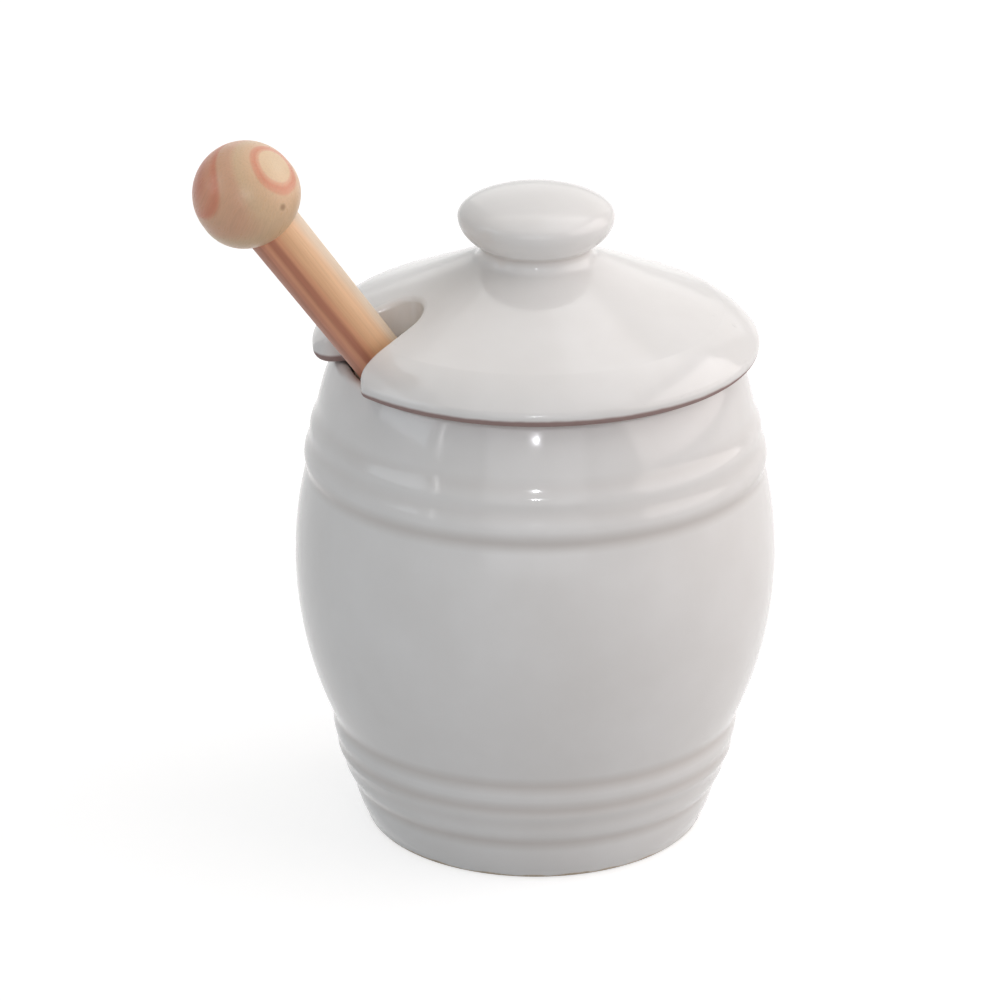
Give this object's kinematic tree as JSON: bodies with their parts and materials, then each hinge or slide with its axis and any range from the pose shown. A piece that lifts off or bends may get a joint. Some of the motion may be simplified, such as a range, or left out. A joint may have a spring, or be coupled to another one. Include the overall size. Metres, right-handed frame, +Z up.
{
  "type": "mustard pot",
  "caption": "Barrel-shaped glazed pot with ribbed bands, a lift-off knobbed lid notched at the rim, and a ball-ended wooden spoon leaning through the notch.",
  "frame": {"origin": "centre of the foot ring, on the plane that the pot stands on", "axes": "+Z up along the pot's axis; the lid's notch and the spoon's handle point towards -X; +Y completes the right-handed frame"},
  "size_m": [0.1043, 0.0844, 0.1321],
  "materials": {
    "white_glaze": "glossy white glaze over stoneware, thinner on the ribs, bare clay on the foot ring",
    "handle_wood": "oiled straight-grained wood with one reddish streak",
    "ball_wood": "polished turned wood with end-grain rings"
  },
  "bodies": {
    "pot": {"pot": "white_glaze"},
    "lid": {"lid": "white_glaze", "lid_knob": "white_glaze"},
    "spoon": {"spoon": "handle_wood", "spoon_ball": "ball_wood"}
  },
  "joints": [
    {"name": "lid_lift", "type": "slide", "parent": "pot", "child": "lid", "axis": [0, 0, 1], "range_m": [0, 0.06]},
    {"name": "spoon_draw", "type": "slide", "parent": "pot", "child": "spoon", "axis": [-0.5855, 0, 0.8107], "range_m": [0, 0.06]}
  ]
}
